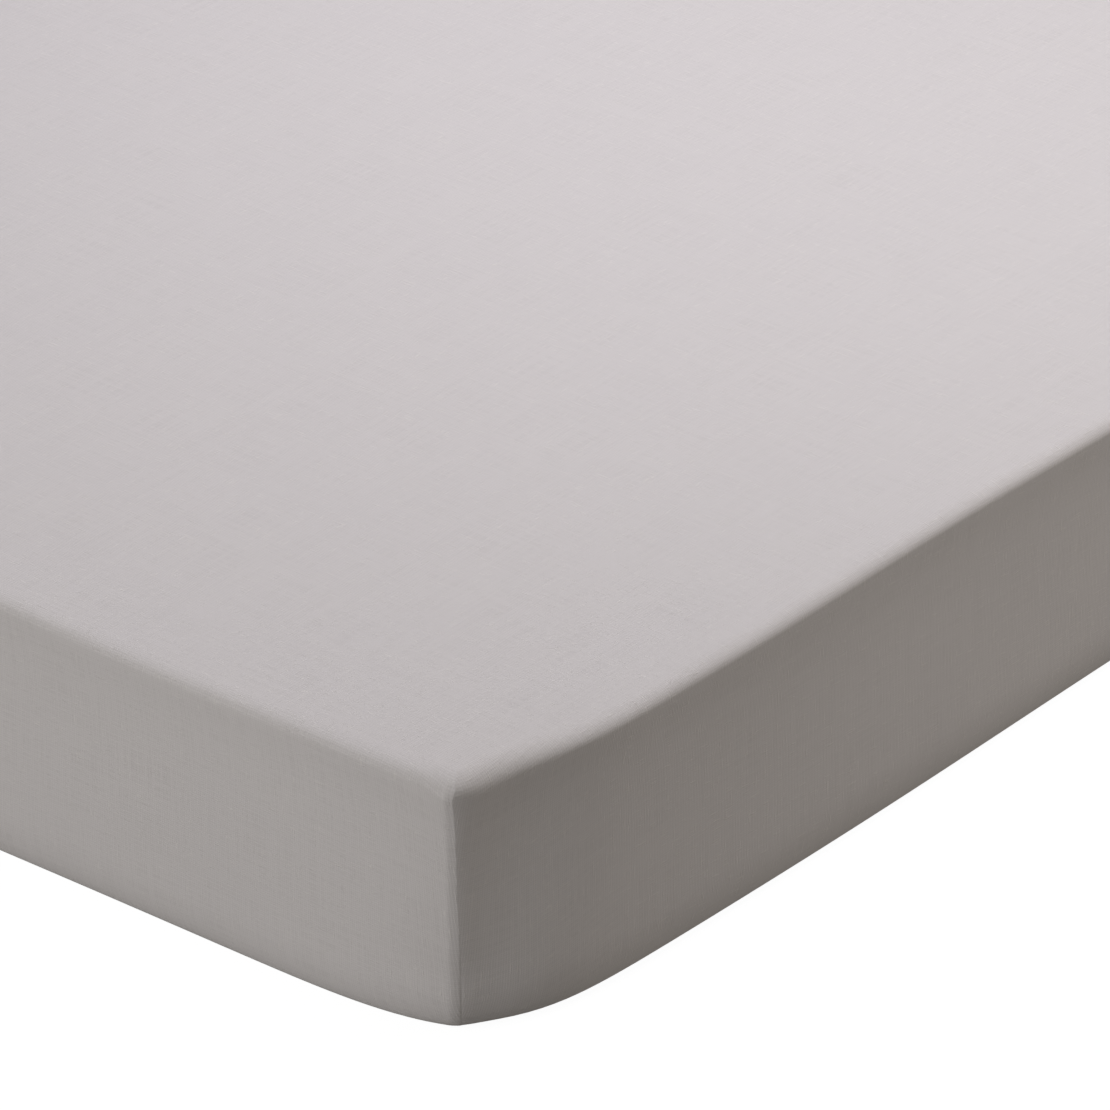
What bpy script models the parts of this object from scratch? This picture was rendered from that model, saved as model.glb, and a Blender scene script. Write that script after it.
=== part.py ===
"""A fitted sheet stretched over its mattress.

The cloth is one thin closed shell: the top panel, four drops, the part tucked under
the mattress and a hem round the open underside. At each corner the cloth is sewn
into an upright seam. Its allowance is pressed towards the end of the bed and shows
as a low raised band that falls back to the seam. Elastic in the hem draws the foot of each corner in, so the
corner is a blunt point at the rim and a round one at the floor. The mattress is a
plain block that fills the cloth.

The long walls run along Y, the ends along X. The origin is on the floor under the
middle of the mattress, and +Z is up.
"""
import math
from collections import namedtuple

import bmesh
import bpy

# Driving dimensions, in metres.
MATTRESS_WIDTH = 1.500
MATTRESS_LENGTH = 2.000
MATTRESS_DEPTH = 0.250

CLOTH = 0.0020           # thickness of the cloth
HEM_FOLD = 0.0010        # what the turned hem adds to it
LAY_GAP = 0.0003         # between two faces that lie on each other
EDGE_GAP = 0.0020        # between the stretched cloth and the mattress wall

RIM_IN = 0.016           # half axes of the elliptic edge between the top and the walls
RIM_DOWN = 0.010
RIM_INSET = 0.0020       # how far the stretched cloth draws the rim in
RIM_OVERHANG = math.radians(10.5)    # how far the edge turns past upright into the hollow wall
FOOT_IN = 0.0168         # half axes of the elliptic roll at the foot of the wall
FOOT_UP = 0.052
TUCK = 0.105             # cloth under the mattress, from the roll to the hem's edge
HEM_WIDTH = 0.022

# The rim is rounder beside the corner seams: how much more it turns inwards and down there,
# how far along each wall that lasts, and over what depth it dies out down the wall.
ROUNDER_IN = 0.25
ROUNDER_DOWN = 0.80
SIDE_ROUND_RUN = 0.085
END_ROUND_RUN = 0.030
ROUND_FADE = 0.020

SEAM_BAND = 0.008        # width of the pressed seam allowance
SEAM_RAISE = 0.0012      # how far it stands out
SEAM_STEP = 0.0015       # run of the slope at each of its edges
END_TURN = 0.0033        # how far the band falls back towards the seam
SIDE_TURN = (0.0085, 0.0045)  # how far the long wall falls back to meet it, at rim and foot
SIDE_TURN_FADE = 0.012

UNDER_MATTRESS = CLOTH + HEM_FOLD + LAY_GAP
HEIGHT = UNDER_MATTRESS + MATTRESS_DEPTH + LAY_GAP + CLOTH
HALF_WIDTH = MATTRESS_WIDTH / 2 + EDGE_GAP + CLOTH
HALF_LENGTH = MATTRESS_LENGTH / 2 + EDGE_GAP + CLOTH

# A skin is one of the nested surfaces. "wall", "top" and "under" say how far it lies
# inside the cloth's outer face, "fold" is the turned hem's extra thickness, and the
# rest are the sizes of its own rim and foot roll.
Skin = namedtuple("Skin", "wall top under fold rim_in rim_down foot_in foot_up")
OUTER = Skin(0.0, 0.0, 0.0, 0.0, RIM_IN, RIM_DOWN, FOOT_IN, FOOT_UP)
INNER = Skin(CLOTH, CLOTH, CLOTH, HEM_FOLD,
             RIM_IN - CLOTH, RIM_DOWN - CLOTH, FOOT_IN - CLOTH, FOOT_UP - CLOTH)
BODY = Skin(CLOTH + EDGE_GAP, CLOTH + LAY_GAP, UNDER_MATTRESS, 0.0,
            RIM_IN, RIM_DOWN, FOOT_IN - UNDER_MATTRESS, FOOT_UP - UNDER_MATTRESS)

# The wall between the rim and the foot roll. "down" goes from 0 to 1, "inset" is
# measured from the widest part, and "draw" says how far the corner has gone from
# its rim shape (0) to its foot shape (1).
WallRow = namedtuple("WallRow", "down inset draw")
WALL = [
    WallRow(0.12, 0.0053, 0.16),
    WallRow(0.26, 0.0073, 0.31),
    WallRow(0.44, 0.0080, 0.44),
    WallRow(0.64, 0.0077, 0.57),
    WallRow(0.82, 0.0071, 0.69),
    WallRow(1.00, 0.0068, 0.80),
]
FOOT_DRAW = 1.10         # draw where the roll meets the floor

# The cloth under the mattress. "reach" goes from 0 at the roll to 1 at the hem's
# edge, and "folded" is 1 in the turned hem.
UnderRow = namedtuple("UnderRow", "reach folded draw")
HEM_LINE = 1 - HEM_WIDTH / TUCK
HEM_STEP = 0.01
UNDER = [
    UnderRow(0.40, 0, 1.50),
    UnderRow(HEM_LINE - HEM_STEP, 0, 1.85),
    UnderRow(HEM_LINE, 1, 1.86),
    UnderRow(1.00, 1, 2.00),
]

# The corner in plan, at draw 0, 1 and 2. A "cut" is how far the seam lies inside
# the long wall or the end wall, and it fades along that wall as exp(-(x/fade)^power).
Corner = namedtuple("Corner", "side_cut side_fade side_power end_cut end_fade end_power")
CORNERS = [
    Corner(0.0300, 0.102, 2.40, 0.0125, 0.075, 1.20),
    Corner(0.050, 0.056, 1.12, 0.037, 0.080, 0.80),
    Corner(0.104, 0.100, 1.00, 0.094, 0.100, 1.00),
]

# Each wall is a little uneven: a wave at the rim and another at the foot. "crest"
# is the place along the wall, from its middle, where the wave lies furthest in.
Wave = namedtuple("Wave", "size length crest")
WAVES = {
    "side_right": (Wave(0.0030, 0.55, -0.38), Wave(0.0080, 0.90, -0.05)),
    "end_far": (Wave(0.0045, 0.56, 0.10), Wave(0.0030, 0.62, -0.22)),
    "side_left": (Wave(0.0040, 0.66, 0.18), Wave(0.0050, 0.84, -0.30)),
    "end_near": (Wave(0.0060, 0.52, 0.15), Wave(0.0048, 0.80, 0.40)),
}
WAVE_FADE = 0.14         # the waves die out this far from a seam

# Columns of points stand closest at a seam, and each step is longer than the last.
FIRST_STEP = 0.012
STEP_GROWTH = 1.26
RIM_STEPS = 4
FOOT_STEPS = 5
BAND_RISE = 4            # power with which the band rises out of the rim
QUARTER_TURN = math.radians(90)
SHARP_EDGE = math.radians(50)

Finish = namedtuple("Finish", "colour roughness")
COTTON = Finish((0.55, 0.52, 0.50, 1.0), 0.85)
TICKING = Finish((0.80, 0.79, 0.76, 1.0), 0.80)

# Where a ring of points runs, how much of the seam's form it takes, and how far the rim's
# rounding has carried it.
Ring = namedtuple("Ring", "inset height draw band round_in round_down")

# A column of points stands "along" metres from its corner's seam, on a long wall or
# on an end wall. "band" is 1 on the pressed seam allowance.
Column = namedtuple("Column", "sign_x sign_y on_side along band wall_name")


def mix(a, b, t):
    return a + (b - a) * t


def corner_shape(draw):
    """The corner's plan at this draw, between two rows of the table."""
    row = min(int(draw), len(CORNERS) - 2)
    return Corner(*(mix(a, b, draw - row) for a, b in zip(CORNERS[row], CORNERS[row + 1])))


def section(skin):
    """Rings of one skin, from the top's edge over the rim and down the wall to the floor."""
    rings = []
    rim_turn = QUARTER_TURN + math.atan(math.tan(RIM_OVERHANG) * RIM_DOWN / RIM_IN)
    for step in range(RIM_STEPS + 1):
        turn = rim_turn * step / RIM_STEPS
        inwards, downwards = 1 - math.sin(turn), 1 - math.cos(turn)
        rings.append(Ring(
            RIM_INSET + skin.wall + skin.rim_in * inwards,
            HEIGHT - skin.top - skin.rim_down * downwards,
            0.0, math.sin(turn) ** BAND_RISE, RIM_IN * inwards, RIM_DOWN * downwards))
    wall_top = rings[-1].height
    wall_foot = skin.under + skin.foot_up
    for row in WALL:
        fade = math.exp(-row.down * (wall_top - wall_foot) / ROUND_FADE)
        rings.append(Ring(row.inset + skin.wall, mix(wall_top, wall_foot, row.down), row.draw,
                          1.0, 0.0, RIM_DOWN * fade))
    for step in range(1, FOOT_STEPS + 1):
        turn = QUARTER_TURN * step / FOOT_STEPS
        rings.append(Ring(
            WALL[-1].inset + skin.wall + skin.foot_in * (1 - math.cos(turn)),
            skin.under + skin.foot_up * (1 - math.sin(turn)),
            mix(WALL[-1].draw, FOOT_DRAW, 1 - math.cos(turn)),
            math.cos(turn), 0.0, 0.0))
    return rings


def underside(skin):
    """Rings of the tucked cloth, from the foot roll to the hem's edge."""
    return [Ring(WALL[-1].inset + FOOT_IN + TUCK * row.reach, skin.under + skin.fold * row.folded,
                 row.draw, 0.0, 0.0, 0.0)
            for row in UNDER]


def steps_from_seam(start, half):
    """Distances from a seam to the middle of the wall, which comes last."""
    steps = []
    step = FIRST_STEP
    place = start + step
    while place < half - step / 2:
        steps.append(place)
        step *= STEP_GROWTH
        place += step
    return steps + [half]


def half_wall(sign_x, sign_y, on_side, wall_name):
    """Columns of half a wall, from beside the seam to the middle of the wall."""
    if on_side:
        places = [(SEAM_STEP, 0.0)]
        start, half = SEAM_STEP, HALF_LENGTH
    else:
        places = [(SEAM_BAND, 1.0), (SEAM_BAND + SEAM_STEP, 0.0)]
        start, half = SEAM_BAND + SEAM_STEP, HALF_WIDTH
    places += [(place, 0.0) for place in steps_from_seam(start, half)]
    return [Column(sign_x, sign_y, on_side, along, band, wall_name) for along, band in places]


def whole_wall(first, last, on_side, wall_name):
    """A seam's column and the wall after it, up to the next seam's column."""
    seam = Column(*first, on_side, 0.0, 1.0, wall_name)
    ahead = half_wall(*first, on_side, wall_name)
    behind = half_wall(*last, on_side, wall_name)
    return [seam] + ahead + behind[-2::-1]


def all_columns():
    """Columns all round, anticlockwise seen from above."""
    return (whole_wall((1, -1), (1, 1), True, "side_right")
            + whole_wall((1, 1), (-1, 1), False, "end_far")
            + whole_wall((-1, 1), (-1, -1), True, "side_left")
            + whole_wall((-1, -1), (1, -1), False, "end_near"))


def wave_inset(wall_name, place, along, draw):
    """How far the unevenness moves a wall inwards, from 0 to the wave's size."""
    rim, foot = (wave.size * (1 + math.cos(2 * math.pi * (place - wave.crest) / wave.length)) / 2
                 for wave in WAVES[wall_name])
    return mix(rim, foot, min(draw, 1.0)) * (1 - math.exp(-(along / WAVE_FADE) ** 2))


def point_on(column, ring, raise_height):
    """The point where a column crosses a ring, in world coordinates."""
    along = column.along
    rounder = math.exp(-(along / (SIDE_ROUND_RUN if column.on_side else END_ROUND_RUN)) ** 2)
    shape = corner_shape(ring.draw)
    inset = (ring.inset + ROUNDER_IN * rounder * ring.round_in
             - raise_height * column.band * ring.band)
    side_turn = mix(*SIDE_TURN, min(ring.draw, 1.0)) * ring.band
    end_turn = END_TURN * ring.band
    if column.on_side:
        from_end = mix(inset + shape.end_cut + end_turn, HALF_LENGTH, along / HALF_LENGTH)
        fade = math.exp(-(along / shape.side_fade) ** shape.side_power)
        place = column.sign_y * (HALF_LENGTH - from_end)
        from_side = (inset + shape.side_cut * fade + side_turn * math.exp(-along / SIDE_TURN_FADE)
                     + wave_inset(column.wall_name, place, along, ring.draw))
    else:
        from_side = mix(inset + shape.side_cut + side_turn, HALF_WIDTH, along / HALF_WIDTH)
        fade = math.exp(-(along / shape.end_fade) ** shape.end_power)
        place = column.sign_x * (HALF_WIDTH - from_side)
        from_end = (inset + shape.end_cut * fade + end_turn * max(0.0, 1 - along / SEAM_BAND)
                    + wave_inset(column.wall_name, place, along, ring.draw))
    return (column.sign_x * (HALF_WIDTH - from_side),
            column.sign_y * (HALF_LENGTH - from_end),
            ring.height - ROUNDER_DOWN * rounder * ring.round_down)


def add_rings(mesh, rings, raise_height=0.0):
    """Vertices of each ring, in order."""
    columns = all_columns()
    return [[mesh.verts.new(point_on(column, ring, raise_height)) for column in columns]
            for ring in rings]


def join_rings(mesh, loops):
    """Faces between each ring and the next one, facing outwards as the rings go down."""
    for upper, lower in zip(loops, loops[1:]):
        for here in range(len(upper)):
            after = (here + 1) % len(upper)
            mesh.faces.new((upper[here], lower[here], lower[after], upper[after]))


def finish_piece(name, mesh, finish):
    """A mesh object with its own material, from a closed bmesh."""
    data = bpy.data.meshes.new(name)
    mesh.to_mesh(data)
    mesh.free()
    data.shade_smooth()
    data.set_sharp_from_angle(angle=SHARP_EDGE)
    material = bpy.data.materials.new(name)
    material.use_nodes = True
    shader = material.node_tree.nodes["Principled BSDF"]
    shader.inputs["Base Color"].default_value = finish.colour
    shader.inputs["Roughness"].default_value = finish.roughness
    shader.inputs["Metallic"].default_value = 0.0
    data.materials.append(material)
    piece = bpy.data.objects.new(name, data)
    bpy.context.scene.collection.objects.link(piece)


def build_fitted_sheet():
    """The cloth: its outer face, then its inner face, joined round the hem's edge."""
    mesh = bmesh.new()
    outer = add_rings(mesh, section(OUTER) + underside(OUTER), SEAM_RAISE)
    inner = add_rings(mesh, section(INNER) + underside(INNER))
    mesh.faces.new(outer[0])
    mesh.faces.new(inner[0][::-1])
    join_rings(mesh, outer + inner[::-1])
    finish_piece("fitted_sheet", mesh, COTTON)


def build_mattress():
    """A plain closed block, a small gap inside the cloth."""
    mesh = bmesh.new()
    loops = add_rings(mesh, section(BODY))
    mesh.faces.new(loops[0])
    mesh.faces.new(loops[-1][::-1])
    join_rings(mesh, loops)
    finish_piece("mattress", mesh, TICKING)


for old in list(bpy.data.objects):
    bpy.data.objects.remove(old, do_unlink=True)
build_fitted_sheet()
build_mattress()
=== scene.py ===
"""Looks of a fitted sheet stretched over its mattress.

Sizes are metres. The long walls run along Y and the ends along X, the origin is on the
floor under the middle of the mattress, and +Z is up. The cloth and the mattress follow
the same formulas as their solids, with finer steps, and the cloth adds what a solid
leaves out: its real thinness, the groove and the slight sway of the corner seams, the
gathers that the elastic makes under the mattress, the stitched hem and the unevenness of
stretched cotton.
"""
import math
from collections import namedtuple

import bmesh
import bpy
from mathutils import Matrix, Vector, noise


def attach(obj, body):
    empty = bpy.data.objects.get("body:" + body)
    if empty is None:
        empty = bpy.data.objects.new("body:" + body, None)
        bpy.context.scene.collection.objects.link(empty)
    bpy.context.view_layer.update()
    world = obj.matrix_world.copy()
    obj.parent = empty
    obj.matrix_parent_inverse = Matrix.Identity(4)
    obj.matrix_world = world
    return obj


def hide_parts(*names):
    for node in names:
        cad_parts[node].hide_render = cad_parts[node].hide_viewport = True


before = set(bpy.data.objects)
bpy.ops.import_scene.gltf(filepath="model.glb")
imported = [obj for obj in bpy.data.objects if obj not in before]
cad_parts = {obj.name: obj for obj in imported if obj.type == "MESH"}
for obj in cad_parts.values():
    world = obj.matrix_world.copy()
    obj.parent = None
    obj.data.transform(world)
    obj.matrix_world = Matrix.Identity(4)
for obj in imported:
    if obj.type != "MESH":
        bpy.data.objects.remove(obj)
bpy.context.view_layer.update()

# ---------------------------------------------------------------------------
# Driving dimensions
# ---------------------------------------------------------------------------
MATTRESS_WIDTH = 1.500
MATTRESS_LENGTH = 2.000
MATTRESS_DEPTH = 0.250

CLOTH_ROOM = 0.0020      # the depth that the solid gives the cloth
HEM_ROOM = 0.0010        # and what it adds for the turned hem
LAY_GAP = 0.0003         # between two faces that lie on each other
EDGE_GAP = 0.0020        # between the stretched cloth and the mattress's wall
COTTON = 0.0006          # the cloth as it is seen, a little over its real thickness
HEM_THICKNESS = 0.0016   # the turned hem with the elastic in it

RIM_IN = 0.016           # the rim's rounding, inwards and down
RIM_DOWN = 0.010
RIM_INSET = 0.0020       # how far the cloth's pull draws the rim in
# The rim is rounder beside the corner seams: how much more it turns inwards and down there,
# how far along each wall that lasts, and over what depth it dies out down the wall.
ROUNDER_IN = 0.25
ROUNDER_DOWN = 0.80
SIDE_ROUND_RUN = 0.085
END_ROUND_RUN = 0.030
ROUND_FADE = 0.020
FOOT_IN = 0.0168         # the roll at the foot of the wall, inwards and up
FOOT_UP = 0.052
TUCK = 0.105             # cloth under the mattress, from the roll to the hem's edge
HEM_WIDTH = 0.022

UNDER_MATTRESS = CLOTH_ROOM + HEM_ROOM + LAY_GAP
HEIGHT = UNDER_MATTRESS + MATTRESS_DEPTH + LAY_GAP + CLOTH_ROOM
HALF_WIDTH = MATTRESS_WIDTH / 2 + EDGE_GAP + CLOTH_ROOM
HALF_LENGTH = MATTRESS_LENGTH / 2 + EDGE_GAP + CLOTH_ROOM
FLOOR_CLEARANCE = 0.0003  # the cloth's lowest face over the floor

# One of the nested surfaces: how far it lies inside the cloth's outer face at the walls,
# the top and the underside, and the sizes of its own foot roll.
Skin = namedtuple("Skin", "wall top under foot_in foot_up")
OUTER = Skin(0.0, 0.0, FLOOR_CLEARANCE, FOOT_IN, FOOT_UP)
BODY = Skin(CLOTH_ROOM + EDGE_GAP, CLOTH_ROOM + LAY_GAP, UNDER_MATTRESS,
            FOOT_IN - UNDER_MATTRESS, FOOT_UP - UNDER_MATTRESS)

# The wall between the rim and the foot roll, from 0 down to 1: how far it lies inside
# its widest part, and the draw, which is how far the corner has gone from its rim shape.
WALL_INSETS = [(0, 0.0020), (0.05, 0.0036), (0.10, 0.0049), (0.16, 0.0061), (0.23, 0.0070),
               (0.32, 0.0077), (0.42, 0.0080), (0.60, 0.0078), (0.80, 0.0072), (1, 0.0068)]
RIM_OVERHANG = math.radians(10.5)    # how far the rim turns past upright into the hollow
CORNER_FILL = 0.8        # the share of the hollow that is missing beside the seams
FILL_RUN = 0.060         # how far that reaches along a wall
WALL_DRAWS = [(0, 0), (0.12, 0.11), (0.26, 0.24), (0.44, 0.39), (0.64, 0.54),
              (0.82, 0.67), (1, 0.80)]
FOOT_DRAW = 1.10         # where the roll meets the floor
UNDER_DRAWS = [(0, 1.10), (0.40, 1.50), (0.78, 1.85), (1, 2.00)]
UNDER_SLOPES = (1.0, 0.68)

# The corner in plan, at draw 0, 1 and 2. A "cut" is how far the seam lies inside the
# long wall or the end wall, and it fades along that wall as exp(-(x/fade)^power).
Corner = namedtuple("Corner", "side_cut side_fade side_power end_cut end_fade end_power")
CORNERS = [
    Corner(0.0300, 0.102, 2.40, 0.0125, 0.075, 1.20),
    Corner(0.050, 0.056, 1.12, 0.037, 0.080, 0.80),
    Corner(0.104, 0.100, 1.00, 0.094, 0.100, 1.00),
]
DRAW_SOFTNESS = 0.10     # rounds the step between the two pairs of rows

# The walls in order, anticlockwise seen from above, from one corner to the next.
Wall = namedtuple("Wall", "name first last on_side half")
WALLS = [
    Wall("side_right", (1, -1), (1, 1), True, HALF_LENGTH),
    Wall("end_far", (1, 1), (-1, 1), False, HALF_WIDTH),
    Wall("side_left", (-1, 1), (-1, -1), True, HALF_LENGTH),
    Wall("end_near", (-1, -1), (1, -1), False, HALF_WIDTH),
]
# Each wall has one long wave at the rim and another at the foot. "crest" is the place along
# the wall, from its middle, where the wave lies furthest in.
Wave = namedtuple("Wave", "size length crest")
WAVES = {
    "side_right": (Wave(0.0030, 0.55, -0.38), Wave(0.0045, 0.90, -0.05)),
    "end_far": (Wave(0.0045, 0.56, 0.10), Wave(0.0030, 0.62, -0.22)),
    "side_left": (Wave(0.0040, 0.66, 0.18), Wave(0.0050, 0.84, -0.30)),
    "end_near": (Wave(0.0036, 0.52, 0.15), Wave(0.0048, 0.80, 0.40)),
}
WAVE_FADE = 0.14         # the waves die out this far from a seam

# The corner seam. Its allowance is pressed towards the end wall and lies there as a flat
# strip, turned partly towards the long wall. Right at the stitches the cloth dips.
SEAM_BAND = 0.0068       # the strip's width
BAND_RAISE = 0.0002      # how far the strip stands out, and the run of its edge's slope
BAND_EDGE = 0.0024
BAND_SOFTNESS = 0.25     # of the bend where the strip starts, as a share of its width
END_TURN = 0.0033        # how far the strip falls back from its edge to the seam
SIDE_TURN = (0.0085, 0.0045)  # how far the long wall falls back to meet it, at rim and foot
SIDE_TURN_FADE = 0.012
GROOVE_WIDTH = 0.0020
GROOVE_SHARPNESS = 1.5
GROOVE_AT_FOOT = 0.0003
GROOVE_DRAWS = (0.45, 0.95)    # it opens between these draws, towards the foot
# How far the seam strays from a straight line, inwards along the end wall, from 0 at the top
# down to 1 at the floor: the first stitches under the rim pull it in and the foot lets it out.
SEAM_SWAYS = [(0, 0), (0.04, -0.0008), (0.08, 0.0018), (0.13, 0.0006), (0.19, -0.0002),
              (0.32, -0.0008), (0.47, -0.0010), (0.62, -0.0024), (0.76, -0.0023), (1, -0.0023)]
SIDE_SWAY_FADE = 0.016
END_SWAY_FADE = 0.012

# Unevenness of the stretched cloth and of the ticking: how far each leaves its plain form,
# over what lengths, and the layer of the noise that it is read from.
Uneven = namedtuple("Uneven", "size along across layer")
TOP_UNEVEN = Uneven(0.0005, 0.34, 0.26, 3.1)
WALL_UNEVEN = Uneven(0.0007, 0.26, 0.11, 7.3)      # this layer times the wall's number
TICKING_UNEVEN = Uneven(0.0012, 0.30, 0.24, 9.7)
TOP_UNEVEN_EDGE = (0.03, 0.16)       # it grows between these distances from the edge
TICKING_UNEVEN_EDGE = (0.17, 0.32)
WALL_UNEVEN_START = 0.05             # and on a wall over this distance from a seam

# The gathers that the elastic makes in the cloth under the mattress.
GATHER_HEIGHT = 0.0013
GATHER_LENGTH = 0.019    # from one ridge to the next
GATHER_DRIFT = 0.55      # how unevenly they follow each other, in ridges
DRIFT_LENGTH = 0.045
DRIFT_LEAN = 0.6         # how much of the drift changes between the foot and the hem
DRIFT_LAYER = 5.0        # of the noise, times the wall's number
GATHER_FADE = 0.30       # they grow weaker over this distance from a corner
GATHER_LEAST = 0.25      # and keep this share of their height
GATHER_REACH = (0.15, 0.85)    # they grow between these reaches, towards the hem's edge

# The line of stitches in the hem.
STITCH_FROM_EDGE = 0.019    # of the hem
STITCH_PITCH = 0.0042
STITCH_SHARE = 0.72      # how much of the pitch shows as thread
THREAD_RADIUS = 0.00025
STITCH_FORM = [(0.0, 0.45), (0.2, 0.95), (0.8, 0.95), (1.0, 0.45)]  # share of the length, swell

# Steps of the meshes.
RIM_STEPS = 9
WALL_STEPS = 16
FOOT_STEPS = 11
UNDER_STEPS = 11
NEAR_STEP = 0.012        # between columns near a corner, and in the middle of a wall
WIDE_STEP = 0.035
STEP_GROWTH = 1.35
LAST_STEP = 1.5          # a gap to the wall's middle below this many steps isn't cut again
FINE_PER_COLUMN = 4      # columns under the mattress for each one on the wall
# The closest columns beside a seam, on an end wall, where the strip lies, and on a long wall.
BAND_COLUMNS = (0.0005, 0.0011, 0.0020, 0.0035, 0.0055, 0.0075, 0.0088, 0.0096,
                0.0104, 0.0114, 0.0130, 0.0160)
SIDE_COLUMNS = (0.0005, 0.0011, 0.0020, 0.0035, 0.0060, 0.0095, 0.0140)
QUARTER_TURN = math.radians(90)

# A ring of points round the object. "relief" says how much of the seam's form it takes,
# "round_in" and "round_down" how far the rim's rounding has carried it, "hollow" how far the
# wall lies inside a straight line there, and "reach" goes from 0 at the foot to 1 at the
# hem's edge.
Ring = namedtuple("Ring", "inset height draw relief round_in round_down hollow reach",
                  defaults=(0.0,) * 6)
# A column stands on a wall at a place that runs from -half to +half of its length.
Column = namedtuple("Column", "wall place")


# ---------------------------------------------------------------------------
# Small helpers
# ---------------------------------------------------------------------------
def mix(a, b, t):
    return a + (b - a) * t


def smooth_step(low, high, value):
    """0 below low, 1 above high and an even S between them."""
    t = min(max((value - low) / (high - low), 0.0), 1.0)
    return t * t * (3 - 2 * t)


def smooth_curve(points, x, end_slopes=(0.0, 0.0)):
    """The value at x of a soft curve through (x, value) points."""
    slopes = [end_slopes[0]]
    for before, after in zip(points, points[2:]):
        slopes.append((after[1] - before[1]) / (after[0] - before[0]))
    slopes.append(end_slopes[1])
    row = 0
    while row < len(points) - 2 and x > points[row + 1][0]:
        row += 1
    (x0, y0), (x1, y1) = points[row], points[row + 1]
    run = x1 - x0
    t = (x - x0) / run
    return (y0 * (1 + 2 * t) * (1 - t) ** 2 + y1 * t * t * (3 - 2 * t)
            + run * slopes[row] * t * (1 - t) ** 2 + run * slopes[row + 1] * t * t * (t - 1))


def soft_ramp(x, softness):
    """0 below zero and x above it, rounded over the softness on both sides."""
    if x <= -softness:
        return 0.0
    return x if x >= softness else (x + softness) ** 2 / (4 * softness)


def fade_out(distance, length, power=1.0):
    return math.exp(-(distance / length) ** power)


def link(name, data):
    piece = bpy.data.objects.new(name, data)
    bpy.context.scene.collection.objects.link(piece)
    return piece


def only(piece):
    """Makes a piece the only selected and active one."""
    for other in bpy.context.selected_objects:
        other.select_set(False)
    piece.select_set(True)
    bpy.context.view_layer.objects.active = piece


def apply_modifier(piece, kind, **settings):
    """Adds a modifier to a piece and applies it."""
    modifier = piece.modifiers.new(kind.title(), kind)
    for name, value in settings.items():
        setattr(modifier, name, value)
    only(piece)
    bpy.ops.object.modifier_apply(modifier=modifier.name)


# ---------------------------------------------------------------------------
# The stretched form
# ---------------------------------------------------------------------------
def corner_shape(draw):
    """The corner's plan at this draw."""
    late = soft_ramp(draw - 1, DRAW_SOFTNESS)
    return Corner(*(a + (b - a) * draw + (c - 2 * b + a) * late for a, b, c in zip(*CORNERS)))


def section(skin):
    """Rings of a skin from the top's edge over the rim and down the wall to the floor."""
    rings = []
    rim_turn = QUARTER_TURN + math.atan(math.tan(RIM_OVERHANG) * RIM_DOWN / RIM_IN)
    for step in range(RIM_STEPS + 1):
        turn = rim_turn * step / RIM_STEPS
        inwards, downwards = RIM_IN * (1 - math.sin(turn)), RIM_DOWN * (1 - math.cos(turn))
        rings.append(Ring(
            RIM_INSET + skin.wall + inwards, HEIGHT - skin.top - downwards,
            0.0, math.sin(turn), inwards, downwards))
    wall_top = rings[-1].height
    wall_foot = skin.under + skin.foot_up
    slopes = (math.tan(RIM_OVERHANG) * (wall_top - wall_foot), 0.0)
    for step in range(1, WALL_STEPS + 1):
        down = step / WALL_STEPS
        inset = smooth_curve(WALL_INSETS, down, slopes)
        rings.append(Ring(
            inset + skin.wall, mix(wall_top, wall_foot, down), smooth_curve(WALL_DRAWS, down), 1.0,
            0.0, RIM_DOWN * fade_out(down * (wall_top - wall_foot), ROUND_FADE),
            inset - mix(WALL_INSETS[0][1], WALL_INSETS[-1][1], down)))
    for step in range(1, FOOT_STEPS + 1):
        turn = QUARTER_TURN * step / FOOT_STEPS
        rings.append(Ring(
            WALL_INSETS[-1][1] + skin.wall + skin.foot_in * (1 - math.cos(turn)),
            skin.under + skin.foot_up * (1 - math.sin(turn)),
            mix(WALL_DRAWS[-1][1], FOOT_DRAW, 1 - math.cos(turn)), math.cos(turn)))
    return rings


def tucked_ring(reach):
    """A ring of the cloth under the mattress."""
    return Ring(WALL_INSETS[-1][1] + FOOT_IN + TUCK * reach, FLOOR_CLEARANCE,
                smooth_curve(UNDER_DRAWS, reach, UNDER_SLOPES), reach=reach)


def tucked():
    """Rings of the cloth under the mattress, from just past the roll to the hem's edge."""
    return [tucked_ring(step / UNDER_STEPS) for step in range(1, UNDER_STEPS + 1)]


def seam_relief(wall, along, ring):
    """How far the cloth stands out near the seam: the pressed strip, less the groove."""
    groove = GROOVE_AT_FOOT * smooth_step(*GROOVE_DRAWS, ring.draw)
    dip = groove * max(0.0, 1 - along / GROOVE_WIDTH) ** GROOVE_SHARPNESS
    strip = 0.0
    if not wall.on_side:
        edge = smooth_step(SEAM_BAND - BAND_EDGE / 2, SEAM_BAND + BAND_EDGE, along)
        strip = BAND_RAISE * (1 - edge)
    return (strip - dip) * ring.relief


def side_turn(ring):
    """How far the long wall has fallen back where it meets the strip."""
    return mix(*SIDE_TURN, min(ring.draw, 1.0))


def corner_turn(wall, along, ring):
    """How far the cloth falls back towards the seam where both walls turn to meet."""
    if wall.on_side:
        turn = side_turn(ring) * fade_out(along, SIDE_TURN_FADE)
    else:
        turn = END_TURN * soft_ramp(1 - along / SEAM_BAND, BAND_SOFTNESS)
    return turn * ring.relief


def seam_sway(along, ring, fade):
    """How far the seam pulls the cloth beside it inwards along the end wall."""
    return smooth_curve(SEAM_SWAYS, 1 - ring.height / HEIGHT) * fade_out(along, fade, 2)


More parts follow.
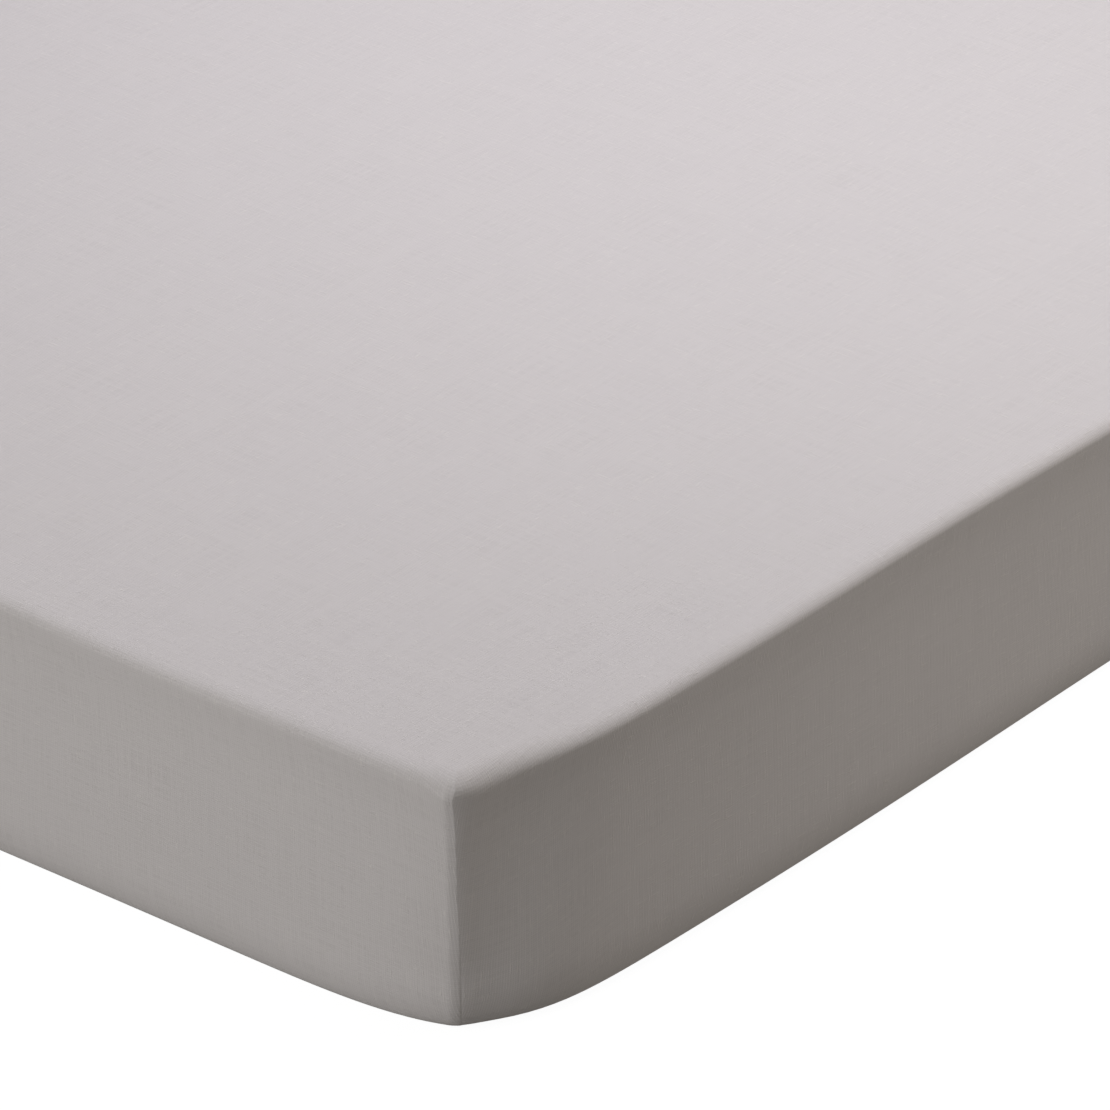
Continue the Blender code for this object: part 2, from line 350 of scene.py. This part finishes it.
def wave_inset(wall, place, along, draw):
    """How far the long waves move a wall inwards."""
    rim, foot = (wave.size * (1 + math.cos(2 * math.pi * (place - wave.crest) / wave.length)) / 2
                 for wave in WAVES[wall.name])
    return mix(rim, foot, min(draw, 1.0)) * (1 - math.exp(-(along / WAVE_FADE) ** 2))


def uneven_inset(wall, place, along, ring):
    """The cloth's own slight unevenness on a wall."""
    middle = 4 * ring.height / HEIGHT * (1 - ring.height / HEIGHT)
    spot = Vector((place / WALL_UNEVEN.along, ring.height / WALL_UNEVEN.across,
                   WALL_UNEVEN.layer * WALLS.index(wall)))
    return WALL_UNEVEN.size * noise.noise(spot) * middle * (1 - fade_out(along, WALL_UNEVEN_START))


def point_on(column, ring, seam=True):
    """Where a column crosses a ring, with the seam's form or without it."""
    wall = column.wall
    sign_x, sign_y = wall.first if column.place < 0 else wall.last
    along = wall.half - abs(column.place)
    rounder = fade_out(along, SIDE_ROUND_RUN if wall.on_side else END_ROUND_RUN, 2)
    ring = ring._replace(height=ring.height - ROUNDER_DOWN * rounder * ring.round_down)
    shape = corner_shape(ring.draw)
    inset = ring.inset + ROUNDER_IN * rounder * ring.round_in
    inset -= CORNER_FILL * ring.hollow * fade_out(along, FILL_RUN, 2)
    inset -= seam * seam_relief(wall, along, ring)
    turn = corner_turn(wall, along, ring)
    if wall.on_side:
        seam_from_end = inset + shape.end_cut + END_TURN * ring.relief
        place = sign_y * (HALF_LENGTH - mix(seam_from_end, HALF_LENGTH, along / HALF_LENGTH))
        cut = shape.side_cut * fade_out(along, shape.side_fade, shape.side_power) + turn
        cut += seam * seam_sway(along, ring, SIDE_SWAY_FADE)
    else:
        seam_from_side = inset + shape.side_cut + side_turn(ring) * ring.relief
        from_side = mix(seam_from_side, HALF_WIDTH, along / HALF_WIDTH)
        from_side += seam * seam_sway(along, ring, END_SWAY_FADE)
        place = sign_x * (HALF_WIDTH - from_side)
        cut = shape.end_cut * fade_out(along, shape.end_fade, shape.end_power) + turn
    cut += inset + wave_inset(wall, place, along, ring.draw) + uneven_inset(wall, place, along, ring)
    if wall.on_side:
        return Vector((sign_x * (HALF_WIDTH - cut), place, ring.height))
    return Vector((place, sign_y * (HALF_LENGTH - cut), ring.height))


def places_on(wall):
    """Places of a wall's columns, from its first seam to just before its last one."""
    alongs = [0.0, *(SIDE_COLUMNS if wall.on_side else BAND_COLUMNS)]
    step = alongs[-1] - alongs[-2]
    while True:
        limit = NEAR_STEP if alongs[-1] < GATHER_FADE else WIDE_STEP
        step = min(step * STEP_GROWTH, limit)
        if alongs[-1] + LAST_STEP * step > wall.half:
            break
        alongs.append(alongs[-1] + step)
    ahead = [along - wall.half for along in alongs]
    return ahead + [0.0] + [-place for place in ahead[:0:-1]]


def all_columns(per_step=1):
    """Columns all round. With per_step, each gap between two of them is cut into so many."""
    columns = []
    for wall in WALLS:
        places = places_on(wall)
        for here, after in zip(places, places[1:] + [wall.half]):
            for part in range(per_step):
                columns.append(Column(wall, mix(here, after, part / per_step)))
    return columns


def add_patch(mesh, edge, counts, lift, face_up=True):
    """A sheet of faces inside a closed ring of points, spread evenly between its walls.

    The ring starts at the (+X, -Y) corner and runs anticlockwise, with counts[0] gaps
    along Y and counts[1] along X. lift gives the height added at a point inside.
    """
    along_y, along_x = counts
    right = edge[:along_y + 1]
    far = edge[along_y:along_y + along_x + 1][::-1]
    left = edge[along_y + along_x:2 * along_y + along_x + 1][::-1]
    near = edge[2 * along_y + along_x:] + edge[:1]
    grid = [near]
    for j in range(1, along_y):
        t = share_between(right[0].co.y, right[-1].co.y, right[j].co.y)
        row = [left[j]]
        for i in range(1, along_x):
            s = share_between(near[0].co.x, near[-1].co.x, near[i].co.x)
            point = left[j].co.lerp(right[j].co, s) + near[i].co.lerp(far[i].co, t)
            point -= near[0].co.lerp(near[-1].co, s).lerp(far[0].co.lerp(far[-1].co, s), t)
            point.z += lift(point)
            row.append(mesh.verts.new(point))
        grid.append(row + [right[j]])
    grid.append(far)
    for below, above in zip(grid, grid[1:]):
        for i in range(along_x):
            corners = (below[i], below[i + 1], above[i + 1], above[i])
            mesh.faces.new(corners if face_up else corners[::-1])


def share_between(start, end, value):
    return (value - start) / (end - start)


def edge_distance(point):
    return min(HALF_WIDTH - abs(point.x), HALF_LENGTH - abs(point.y))


def surface_noise(uneven, point):
    """Unevenness of a level face, above and below zero."""
    spot = Vector((point.x / uneven.along, point.y / uneven.across, uneven.layer))
    return uneven.size * noise.noise(spot)


def top_lift(point):
    """Unevenness of the top, which dies out towards the rim."""
    return surface_noise(TOP_UNEVEN, point) * smooth_step(*TOP_UNEVEN_EDGE, edge_distance(point))


# ---------------------------------------------------------------------------
# The sheet
# ---------------------------------------------------------------------------
def gather_height(column, ring):
    """Height of the elastic's gathers, strongest at the hem and at the corners."""
    wall = column.wall
    along = wall.half - abs(column.place)
    spot = Vector((column.place / DRIFT_LENGTH, DRIFT_LEAN * ring.reach,
                   DRIFT_LAYER * WALLS.index(wall)))
    drift = GATHER_DRIFT * noise.noise(spot)
    ridge = 0.5 + 0.5 * math.sin(2 * math.pi * (column.place / GATHER_LENGTH + drift))
    strength = mix(GATHER_LEAST, 1.0, fade_out(along, GATHER_FADE, 2))
    return GATHER_HEIGHT * strength * smooth_step(*GATHER_REACH, ring.reach) * ridge


def tucked_point(column, ring):
    point = point_on(column, ring)
    point.z += gather_height(column, ring)
    return point


def runs_down(rings):
    """The cloth's length from the top's edge to each ring."""
    runs = [0.0]
    for above, below in zip(rings, rings[1:]):
        runs.append(runs[-1] + math.hypot(below.inset - above.inset, below.height - above.height))
    return runs


def flat_place(point, edge_point, run, on_side):
    """Where a point of a wall or of the tuck lies in the flat cut cloth."""
    if on_side:
        return (math.copysign(abs(edge_point.x) + run, edge_point.x), point.y)
    return (point.x, math.copysign(abs(edge_point.y) + run, edge_point.y))


def build_sheet():
    """The cloth's outer face, with its flat cut as a UV map, thickened inwards."""
    rings, under_rings = section(OUTER), tucked()
    runs = runs_down(rings + under_rings)
    columns, fine = all_columns(), all_columns(FINE_PER_COLUMN)
    counts = [len(places_on(wall)) for wall in WALLS[:2]]
    edge = [point_on(column, rings[0]) for column in columns]
    fine_edge = [here.lerp(after, part / FINE_PER_COLUMN)
                 for here, after in zip(edge, edge[1:] + edge[:1]) for part in range(FINE_PER_COLUMN)]
    mesh = bmesh.new()
    flat = mesh.loops.layers.uv.new("flat_cut")
    laid = {}

    def add_ring(ring, run, ring_columns, edge_points, place_of):
        """Points of one ring, each with its place on the top's edge and its run from there."""
        loop = [mesh.verts.new(place_of(column, ring)) for column in ring_columns]
        laid.update((vert, (edge_point, run)) for vert, edge_point in zip(loop, edge_points))
        return loop

    def add_face(verts, wall):
        """A face of a wall or of the tuck, with its corners' places in the flat cut."""
        for corner in mesh.faces.new(verts).loops:
            corner[flat].uv = flat_place(corner.vert.co, *laid[corner.vert], wall.on_side)

    def join(upper, lower, ring_columns):
        """Faces between two rings. The lower one may have more points than the upper."""
        parts = len(lower) // len(upper)
        for here, column in enumerate(ring_columns):
            after = (here + 1) % len(upper)
            strip = [lower[(here * parts + part) % len(lower)] for part in range(parts + 1)]
            add_face([upper[here], *strip, upper[after]], column.wall)

    walls = [add_ring(ring, run, columns, edge, point_on) for ring, run in zip(rings, runs)]
    under = [add_ring(ring, run, fine, fine_edge, tucked_point)
             for ring, run in zip(under_rings, runs[len(rings):])]
    add_patch(mesh, walls[0], counts, top_lift)
    for face in mesh.faces:
        for corner in face.loops:
            corner[flat].uv = corner.vert.co.xy
    for upper, lower in zip(walls, walls[1:] + under[:1]):
        join(upper, lower, columns)
    for upper, lower in zip(under, under[1:]):
        join(upper, lower, fine)

    mesh.verts.index_update()
    hem = [vert.index for ring, loop in zip(under_rings, under)
           if TUCK * (1 - ring.reach) < HEM_WIDTH for vert in loop]
    data = bpy.data.meshes.new("fitted_sheet_cotton")
    mesh.to_mesh(data)
    mesh.free()
    data.shade_smooth()
    sheet = link("fitted_sheet_cotton", data)
    sheet.vertex_groups.new(name="hem").add(hem, 1.0, "REPLACE")
    apply_modifier(sheet, "SOLIDIFY", thickness=HEM_THICKNESS, offset=-1.0, vertex_group="hem",
                   thickness_vertex_group=COTTON / HEM_THICKNESS)
    return sheet


def add_stitch(mesh, start, end):
    """One stitch: a thread that dips into the cloth at both ends."""
    ahead = (end - start).normalized()
    aside = ahead.cross(Vector((0, 0, 1)))
    rings = []
    for share, swell in STITCH_FORM:
        middle = start.lerp(end, share)
        rings.append([mesh.verts.new(middle + (aside * math.cos(turn) + Vector((0, 0, math.sin(turn))))
                                     * THREAD_RADIUS * swell)
                      for turn in (QUARTER_TURN * side for side in range(4))])
    for here, after in zip(rings, rings[1:]):
        for side in range(4):
            other = (side + 1) % 4
            mesh.faces.new((here[side], here[other], after[other], after[side]))
    mesh.faces.new(rings[0][::-1])
    mesh.faces.new(rings[-1])


def build_hem_stitches():
    """The line of stitches that closes the hem, on the underside of the tucked cloth."""
    ring = tucked_ring(1 - STITCH_FROM_EDGE / TUCK)
    mesh = bmesh.new()
    for wall in WALLS:
        count = int(2 * wall.half / STITCH_PITCH)
        pitch = 2 * wall.half / count
        for index in range(count):
            place = -wall.half + pitch * (index + (1 - STITCH_SHARE) / 2)
            add_stitch(mesh, tucked_point(Column(wall, place), ring),
                       tucked_point(Column(wall, place + pitch * STITCH_SHARE), ring))
    bmesh.ops.recalc_face_normals(mesh, faces=mesh.faces[:])
    data = bpy.data.meshes.new("hem_stitches")
    mesh.to_mesh(data)
    mesh.free()
    data.shade_smooth()
    return link("hem_stitches", data)


# ---------------------------------------------------------------------------
# The mattress
# ---------------------------------------------------------------------------
def underside_lift(point):
    """Soft hollows in the ticking under the mattress, inside the hem's opening."""
    hollow = TICKING_UNEVEN.size + surface_noise(TICKING_UNEVEN, point)
    return hollow * smooth_step(*TICKING_UNEVEN_EDGE, edge_distance(point))


def build_mattress():
    """The mattress as one closed padded block, a small gap inside the cloth."""
    columns = all_columns()
    counts = [len(places_on(wall)) for wall in WALLS[:2]]
    mesh = bmesh.new()
    loops = [[mesh.verts.new(point_on(column, ring, seam=False)) for column in columns]
             for ring in section(BODY)]
    for upper, lower in zip(loops, loops[1:]):
        for here in range(len(columns)):
            after = (here + 1) % len(columns)
            mesh.faces.new((upper[here], lower[here], lower[after], upper[after]))
    add_patch(mesh, loops[0], counts, lambda point: 0.0)
    add_patch(mesh, loops[-1], counts, underside_lift, face_up=False)
    data = bpy.data.meshes.new("plain_mattress")
    mesh.to_mesh(data)
    mesh.free()
    data.shade_smooth()
    return link("plain_mattress", data)


# ---------------------------------------------------------------------------
# Materials
# ---------------------------------------------------------------------------
def linear(hex_colour):
    """An sRGB hex colour as linear RGBA."""
    parts = [int(hex_colour[start:start + 2], 16) / 255 for start in (1, 3, 5)]
    return (*(part / 12.92 if part <= 0.04045 else ((part + 0.055) / 1.055) ** 2.4
              for part in parts), 1.0)


def add_node(tree, kind, settings=(), **sockets):
    """A node with its settings, and its sockets set or linked. _ stands for a space."""
    node = tree.nodes.new(kind)
    for name, value in dict(settings).items():
        setattr(node, name, value)
    for name, value in sockets.items():
        numbered = name.startswith("in") and name[2:].isdigit()
        socket = node.inputs[int(name[2:]) if numbered else name.replace("_", " ")]
        if isinstance(value, bpy.types.NodeSocket):
            tree.links.new(value, socket)
        else:
            socket.default_value = value
    return node


def new_material(name, **shader_values):
    material = bpy.data.materials.new(name)
    material.use_nodes = True
    shader = material.node_tree.nodes["Principled BSDF"]
    for socket, value in shader_values.items():
        shader.inputs[socket.replace("_", " ")].default_value = value
    return material, material.node_tree, shader


# The percale's threads really lie 0.27 mm apart, which no view shows, so the weave is drawn
# about seven times as coarse, and faint enough to stay a smooth sheet from a distance.
THREAD_SPACING = 0.0020
THREAD_WANDER = 0.0005   # how far threads stray sideways, over a few centimetres
WANDER_LENGTH = 0.030
THREAD_TONE = (0.0020, 0.090)      # width and length of the stretches where one yarn is paler
TONE_NOISE = (0.35, 0.65)          # from the darker yarn to the paler one
SLUB = (0.0013, 0.016)             # width and length of a yarn's thicker places
SLUB_NOISE = (0.62, 0.74)          # high in the noise, so that they stay rare
SLUB_SHARE = 0.7
CLOUD_LENGTH = 0.11                # soft patches, as ironing leaves them
CLOUD_NOISE = (0.3, 0.7)
CLOUD_SHARE = 0.35
GAP_DEPTH = 0.55                   # under this height of the weave its gaps between the threads are painted darker, as shade
GAP_SHADE_SHARE = 0.55
WEAVE_RELIEF = 0.00009
SLUB_RELIEF = 0.00014
RIPPLE_LENGTH = 0.045              # shallow unevenness in how tight the cloth lies
RIPPLE_RELIEF = 0.00016

# A Wave texture of scale 1 repeats every 2 pi / 20 metres along one axis. Its diagonal bands
# repeat every 2 pi / 10 metres of the three axes' sum.
WAVE_REPEAT = 2 * math.pi / 20


def weave_height(tree, place, spacing):
    """Plain weave: each thread rises over every other crossing, by turns with the other set."""
    crowns, turns = [], []
    for axis in "XY":
        crowns.append(add_node(tree, "ShaderNodeTexWave", {"bands_direction": axis}, Vector=place,
                               Scale=WAVE_REPEAT / spacing).outputs["Fac"])
        across = add_node(tree, "ShaderNodeTexWave", {"bands_direction": axis}, Vector=place,
                          Scale=WAVE_REPEAT / (2 * spacing), Phase_Offset=QUARTER_TURN)
        turns.append(add_node(tree, "ShaderNodeMath", {"operation": "MULTIPLY_ADD"},
                              in0=across.outputs["Fac"], in1=2.0, in2=-1.0).outputs[0])
    both = add_node(tree, "ShaderNodeMath", {"operation": "MULTIPLY"}, in0=turns[0], in1=turns[1])
    warp_up = add_node(tree, "ShaderNodeMath", {"operation": "MULTIPLY_ADD"},
                       in0=both.outputs[0], in1=0.5, in2=0.5)
    weft_up = add_node(tree, "ShaderNodeMath", {"operation": "SUBTRACT"},
                       in0=1.0, in1=warp_up.outputs[0])
    warp = add_node(tree, "ShaderNodeMath", {"operation": "MULTIPLY"},
                    in0=crowns[0], in1=warp_up.outputs[0])
    weft = add_node(tree, "ShaderNodeMath", {"operation": "MULTIPLY"},
                    in0=crowns[1], in1=weft_up.outputs[0])
    return add_node(tree, "ShaderNodeMath", {"operation": "MAXIMUM"},
                    in0=warp.outputs[0], in1=weft.outputs[0]).outputs[0]


def yarn_streaks(tree, place, size, low, high):
    """Streaks along the warp and along the weft, of the (width, length) given, from 0 to 1."""
    width, length = size
    sets = []
    for scale in ((1 / width, 1 / length, 1), (1 / length, 1 / width, 1)):
        along = add_node(tree, "ShaderNodeMapping", Vector=place, Scale=scale,
                         Location=(*scale[1::-1], 0))
        grain = add_node(tree, "ShaderNodeTexNoise", Vector=along.outputs[0], Scale=1.0, Detail=1.0)
        sets.append(add_node(tree, "ShaderNodeMapRange", {"interpolation_type": "SMOOTHSTEP"},
                             Value=grain.outputs["Fac"], From_Min=low, From_Max=high).outputs[0])
    return add_node(tree, "ShaderNodeMath", {"operation": "ADD", "use_clamp": True},
                    in0=sets[0], in1=sets[1]).outputs[0]


def cotton_percale():
    """Cotton percale, plain-woven from fine combed yarn and left unglazed.

    To the eye it is an even matt cloth with a faint sheen where it curves away. Close by it
    has a fine grid of threads with painted shade between them, single yarns a shade paler
    and darker, and small slubs.
    """
    material, tree, shader = new_material(
        "cotton_percale", IOR=1.47, Specular_IOR_Level=0.35, Sheen_Weight=0.12, Sheen_Roughness=0.45)
    cut = add_node(tree, "ShaderNodeUVMap", {"uv_map": "flat_cut"}).outputs["UV"]
    stray = add_node(tree, "ShaderNodeTexNoise", Vector=cut, Scale=1 / WANDER_LENGTH, Detail=1.0)
    place = add_node(tree, "ShaderNodeVectorMath", {"operation": "MULTIPLY_ADD"},
                     in0=stray.outputs["Color"], in1=(2 * THREAD_WANDER,) * 3, in2=cut).outputs[0]
    weave = weave_height(tree, place, THREAD_SPACING)
    tone = yarn_streaks(tree, place, THREAD_TONE, *TONE_NOISE)
    slub = yarn_streaks(tree, place, SLUB, *SLUB_NOISE)
    cloud = add_node(tree, "ShaderNodeTexNoise", Vector=cut, Scale=1 / CLOUD_LENGTH, Detail=2.0)

    yarn = add_node(tree, "ShaderNodeMix", {"data_type": "RGBA"}, in0=tone,
                    in6=linear("#BBB6B3"), in7=linear("#C2BDBA"))
    pressed = add_node(tree, "ShaderNodeMapRange", Value=cloud.outputs["Fac"],
                       From_Min=CLOUD_NOISE[0], From_Max=CLOUD_NOISE[1], To_Min=0.0, To_Max=CLOUD_SHARE)
    soft = add_node(tree, "ShaderNodeMix", {"data_type": "RGBA"}, in0=pressed.outputs[0],
                    in6=yarn.outputs[2], in7=linear("#BFBAB8"))
    # Painted shade: the weave's low places, between the threads, are mixed towards a darker colour.
    gaps = add_node(tree, "ShaderNodeMapRange", Value=weave, From_Min=0.0, From_Max=GAP_DEPTH,
                    To_Min=GAP_SHADE_SHARE, To_Max=0.0)
    woven = add_node(tree, "ShaderNodeMix", {"data_type": "RGBA"}, in0=gaps.outputs[0],
                     in6=soft.outputs[2], in7=linear("#ADA8A5"))
    thick = add_node(tree, "ShaderNodeMath", {"operation": "MULTIPLY"}, in0=slub, in1=SLUB_SHARE)
    colour = add_node(tree, "ShaderNodeMix", {"data_type": "RGBA"}, in0=thick.outputs[0],
                      in6=woven.outputs[2], in7=linear("#C8C3BE"))
    tree.links.new(colour.outputs[2], shader.inputs["Base Color"])

    rough = add_node(tree, "ShaderNodeMapRange", Value=weave, To_Min=0.93, To_Max=0.84)
    tree.links.new(rough.outputs[0], shader.inputs["Roughness"])

    ripple = add_node(tree, "ShaderNodeTexNoise", Vector=cut, Scale=1 / RIPPLE_LENGTH, Detail=1.0)
    tight = add_node(tree, "ShaderNodeBump", Height=ripple.outputs["Fac"], Distance=RIPPLE_RELIEF)
    raised = add_node(tree, "ShaderNodeBump", Height=slub, Distance=SLUB_RELIEF,
                      Normal=tight.outputs[0])
    threads = add_node(tree, "ShaderNodeBump", Height=weave, Distance=WEAVE_RELIEF,
                       Normal=raised.outputs[0])
    tree.links.new(threads.outputs[0], shader.inputs["Normal"])
    return material


# A sewing thread's two plies turn round each other about every 0.6 mm. The twist is drawn
# three times as long, and shows only in the closest views of the hem.
PLY_TWIST = 0.0018
PLY_RELIEF = 0.00006


def sewing_thread():
    """Core-spun sewing thread, twisted and waxed: paler than the cloth, with a soft lustre."""
    material, tree, shader = new_material(
        "core_spun_sewing_thread", IOR=1.53, Specular_IOR_Level=0.45, Sheen_Weight=0.05)
    place = add_node(tree, "ShaderNodeTexCoord").outputs["Object"]
    twist = add_node(tree, "ShaderNodeTexWave", {"bands_direction": "DIAGONAL"}, Vector=place,
                     Scale=2 * WAVE_REPEAT / PLY_TWIST).outputs["Fac"]
    # Painted shade and highlight: following the twist, the grooves between the plies are darker and
    # their crowns paler.
    colour = add_node(tree, "ShaderNodeMix", {"data_type": "RGBA"}, in0=twist,
                      in6=linear("#B9B4AF"), in7=linear("#CAC6C1"))
    tree.links.new(colour.outputs[2], shader.inputs["Base Color"])
    rough = add_node(tree, "ShaderNodeMapRange", Value=twist, To_Min=0.70, To_Max=0.52)
    tree.links.new(rough.outputs[0], shader.inputs["Roughness"])
    plies = add_node(tree, "ShaderNodeBump", Height=twist, Distance=PLY_RELIEF)
    tree.links.new(plies.outputs[0], shader.inputs["Normal"])
    return material


# Real ticking has a twill rib about every 0.8 mm. It is drawn as a 3 mm rib, with painted shade in its
# valleys.
TWILL_RIB = 0.003
TWILL_RELIEF = 0.00012
FLECK_LENGTH = 0.004     # darker flecks of unbleached cotton
FLECK_NOISE = (0.55, 0.75)
FLECK_SHARE = 0.4
AGED_LENGTH = 0.16       # and wide patches that have yellowed a little
AGED_NOISE = (0.35, 0.75)
AGED_SHARE = 0.35


def plain_ticking():
    """Close cotton twill, bleached but not dyed: off-white and matt, with a diagonal rib."""
    material, tree, shader = new_material("cotton_ticking", IOR=1.47, Specular_IOR_Level=0.35,
                                          Sheen_Weight=0.08, Sheen_Roughness=0.5)
    place = add_node(tree, "ShaderNodeTexCoord").outputs["Object"]
    rib = add_node(tree, "ShaderNodeTexWave", {"bands_direction": "DIAGONAL"}, Vector=place,
                   Scale=WAVE_REPEAT * math.sqrt(2) / TWILL_RIB,
                   Distortion=0.6, Detail_Scale=0.3).outputs["Fac"]
    fleck = add_node(tree, "ShaderNodeTexNoise", Vector=place, Scale=1 / FLECK_LENGTH, Detail=3.0)
    cloud = add_node(tree, "ShaderNodeTexNoise", Vector=place, Scale=1 / AGED_LENGTH, Detail=2.0)
    # Painted shade and highlight: the twill's valleys are darker and its ribs paler.
    rib_shaded = add_node(tree, "ShaderNodeMix", {"data_type": "RGBA"}, in0=rib,
                      in6=linear("#DDD9D0"), in7=linear("#ECE9E2"))
    specks = add_node(tree, "ShaderNodeMapRange", Value=fleck.outputs["Fac"],
                      From_Min=FLECK_NOISE[0], From_Max=FLECK_NOISE[1], To_Min=0.0, To_Max=FLECK_SHARE)
    flecked = add_node(tree, "ShaderNodeMix", {"data_type": "RGBA"}, in0=specks.outputs[0],
                       in6=rib_shaded.outputs[2], in7=linear("#CFC8B8"))
    aged = add_node(tree, "ShaderNodeMapRange", Value=cloud.outputs["Fac"],
                    From_Min=AGED_NOISE[0], From_Max=AGED_NOISE[1], To_Min=0.0, To_Max=AGED_SHARE)
    colour = add_node(tree, "ShaderNodeMix", {"data_type": "RGBA"}, in0=aged.outputs[0],
                      in6=flecked.outputs[2], in7=linear("#E0DBCF"))
    tree.links.new(colour.outputs[2], shader.inputs["Base Color"])
    rough = add_node(tree, "ShaderNodeMapRange", Value=rib, To_Min=0.92, To_Max=0.82)
    tree.links.new(rough.outputs[0], shader.inputs["Roughness"])
    twill = add_node(tree, "ShaderNodeBump", Height=rib, Distance=TWILL_RELIEF)
    tree.links.new(twill.outputs[0], shader.inputs["Normal"])
    return material


# ---------------------------------------------------------------------------
# Camera
# ---------------------------------------------------------------------------
LENS_MM = 259.46
SENSOR_MM = 36.0
CAMERA_PITCH = math.radians(28.650)
CAMERA_TURN = math.radians(50.241)   # between the camera's heading and the end wall
CAMERA_DISTANCE = 6.2604             # to the near corner's foot, along the view
CORNER_RIGHT = -0.0579               # where that foot stands in the view
CORNER_UP = -0.4172


def build_camera():
    """The camera looks at the (+X, -Y) corner from above, as the photograph does."""
    heading = Vector((-math.cos(CAMERA_TURN), math.sin(CAMERA_TURN), 0))
    right = Vector((math.sin(CAMERA_TURN), math.cos(CAMERA_TURN), 0))
    forward = heading * math.cos(CAMERA_PITCH) - Vector((0, 0, math.sin(CAMERA_PITCH)))
    up = right.cross(forward)
    foot = Vector((HALF_WIDTH, -HALF_LENGTH, 0))
    place = foot - right * CORNER_RIGHT - up * CORNER_UP - forward * CAMERA_DISTANCE
    data = bpy.data.cameras.new("camera")
    data.lens = LENS_MM
    data.sensor_width = SENSOR_MM
    data.clip_end = 200
    camera = link("camera", data)
    camera.matrix_world = Matrix.Translation(place) @ Matrix((right, up, -forward)).transposed().to_4x4()
    bpy.context.scene.camera = camera


# ---------------------------------------------------------------------------
# Floor and light
# ---------------------------------------------------------------------------
FLOOR_RADIUS = 60.0
FLOOR_GLOW = 0.95        # the white floor's own light
FLOOR_ALBEDO = 0.12      # so low that shadows hardly show on it


def build_floor():
    bpy.ops.object.select_all(action="DESELECT")
    bpy.ops.mesh.primitive_circle_add(vertices=96, radius=FLOOR_RADIUS, fill_type="NGON")
    floor = bpy.context.active_object
    floor.name = "studio_floor"
    material = bpy.data.materials.new("white_studio_floor")
    material.use_nodes = True
    tree = material.node_tree
    tree.nodes.clear()
    matt = add_node(tree, "ShaderNodeBsdfDiffuse", Color=(FLOOR_ALBEDO,) * 3 + (1,))
    glow = add_node(tree, "ShaderNodeEmission", Strength=FLOOR_GLOW)
    both = add_node(tree, "ShaderNodeAddShader", in0=matt.outputs[0], in1=glow.outputs[0])
    add_node(tree, "ShaderNodeOutputMaterial", Surface=both.outputs[0])
    floor.data.materials.append(material)
    floor.visible_diffuse = False
    floor.visible_glossy = False


# Plain soft light: three large discs over the bed, one in front of the end wall and a
# weaker one well off the long wall, so each face of the bed has its own even tone.
Lamp = namedtuple("Lamp", "name place target size power colour")
LAMPS = [
    Lamp("over_bed", (0.1, 0.1, 2.0), (0.1, 0.1, 0.25), 1.5, 14.2, (0.965, 0.975, 1.06)),
    Lamp("over_right", (1.2, 0.6, 2.4), (0.3, 0.3, 0.25), 1.6, 25.4, (0.99, 0.985, 1.025)),
    Lamp("over_left", (-1.3, 1.0, 2.2), (-0.5, 0.5, 0.25), 1.6, 28.2, (0.97, 0.96, 1.07)),
    Lamp("before_end", (0.2, -3.8, 1.4), (0.1, -1.0, 0.13), 2.4, 67.5, (0.99, 0.995, 1.015)),
    Lamp("beside_wall", (3.4, 2.4, 1.2), (0.75, 0, 0.13), 2.0, 52.8, (1.05, 1.0, 0.95)),
]


def build_lamps():
    for lamp in LAMPS:
        data = bpy.data.lights.new(lamp.name, "AREA")
        data.shape = "DISK"
        data.size = lamp.size
        data.energy = lamp.power
        data.color = lamp.colour
        piece = link(lamp.name, data)
        piece.location = lamp.place
        away = Vector(lamp.place) - Vector(lamp.target)
        piece.rotation_euler = away.to_track_quat("Z", "Y").to_euler()


# A dim surround, and below the horizon the light that a pale floor sends back.
WORLD_ABOVE = (0.102, 0.096, 0.090, 1)
WORLD_BELOW = (0.198, 0.190, 0.177, 1)
HORIZON_BLUR = 0.05


def build_world():
    world = bpy.data.worlds.new("studio")
    world.use_nodes = True
    tree = world.node_tree
    background = tree.nodes["Background"]
    place = add_node(tree, "ShaderNodeTexCoord")
    split = add_node(tree, "ShaderNodeSeparateXYZ", Vector=place.outputs["Generated"])
    rise = add_node(tree, "ShaderNodeMapRange", From_Min=-HORIZON_BLUR, From_Max=HORIZON_BLUR,
                    Value=split.outputs["Z"])
    shade = add_node(tree, "ShaderNodeMix", {"data_type": "RGBA"}, in0=rise.outputs[0],
                     in6=WORLD_BELOW, in7=WORLD_ABOVE)
    tree.links.new(shade.outputs[2], background.inputs["Color"])
    bpy.context.scene.world = world


build_camera()
sheet = build_sheet()
stitches = build_hem_stitches()
mattress = build_mattress()
sheet.data.materials.append(cotton_percale())
stitches.data.materials.append(sewing_thread())
mattress.data.materials.append(plain_ticking())

for piece, slot in ((sheet, "sheet_cotton"), (stitches, "sheet_cotton"), (mattress, "mattress_ticking")):
    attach(piece, "root")
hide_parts("fitted_sheet")
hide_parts("mattress")

build_floor()
build_lamps()
build_world()
bpy.context.scene.view_settings.view_transform = "Standard"
